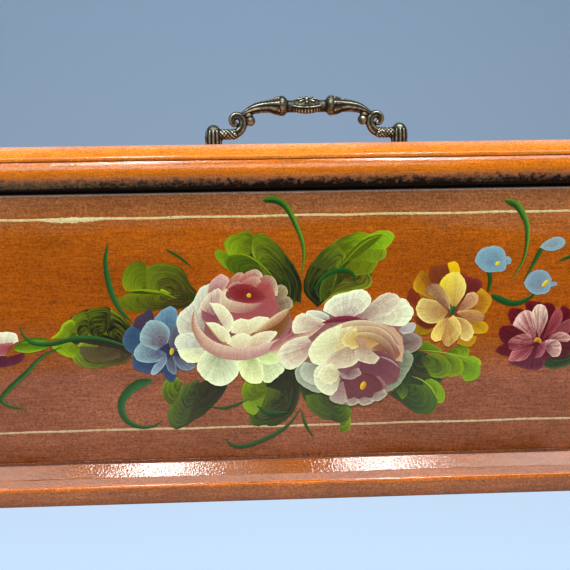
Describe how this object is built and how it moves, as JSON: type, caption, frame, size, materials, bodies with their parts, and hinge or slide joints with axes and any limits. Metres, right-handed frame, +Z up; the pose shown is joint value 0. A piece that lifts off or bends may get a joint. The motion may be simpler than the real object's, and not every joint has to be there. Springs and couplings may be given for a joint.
{
  "type": "lidded keepsake box",
  "caption": "Rectangular wooden box with a hinged overhanging lid, a cast bow handle on the lid and a moulded base.",
  "frame": {"origin": "middle of the box on the surface that it stands on", "axes": "+Z up, +X to the right along the front, the front looks along -Y"},
  "size_m": [0.348, 0.254, 0.1688],
  "materials": {
    "stained_panel": "orange-brown stain, gloss varnish, painted flowers",
    "stained_moulding": "orange-brown stain, high gloss varnish",
    "stained_lid": "amber stain, gloss varnish, worn lower edge",
    "plywood": "bare thin plywood",
    "brad_steel": "plain steel",
    "hinge_brass": "dulled brass",
    "antique_brass": "antiqued brass, dark recesses and rubbed ridges",
    "screw_steel": "zinc plated"
  },
  "bodies": {
    "box": {"front_panel": "stained_panel", "back_panel": "stained_panel", "left_side": "stained_panel", "right_side": "stained_panel", "bottom_panel": "plywood", "base_moulding_front": "stained_moulding", "base_moulding_right": "stained_moulding", "base_moulding_back": "stained_moulding", "base_moulding_left": "stained_moulding", "corner_brads": "brad_steel", "moulding_brads": "brad_steel", "hinge_left_box_leaf": "hinge_brass", "hinge_right_box_leaf": "hinge_brass", "hinge_left_pin": "hinge_brass", "hinge_right_pin": "hinge_brass", "hinge_box_screws": "hinge_brass"},
    "lid": {"lid_panel": "stained_lid", "lid_rail_front": "stained_lid", "lid_rail_right": "stained_lid", "lid_rail_left": "stained_lid", "lid_rail_back": "stained_lid", "lid_brads": "brad_steel", "hinge_left_lid_leaf": "hinge_brass", "hinge_right_lid_leaf": "hinge_brass", "hinge_lid_screws": "hinge_brass", "handle": "antique_brass", "handle_screws": "screw_steel", "handle_washers": "screw_steel"}
  },
  "joints": [
    {"name": "lid_hinge", "type": "hinge", "parent": "box", "child": "lid", "pos_m": [0, 0.1202, 0.1225], "axis": [-1, 0, 0], "range_deg": [0, 185]}
  ]
}
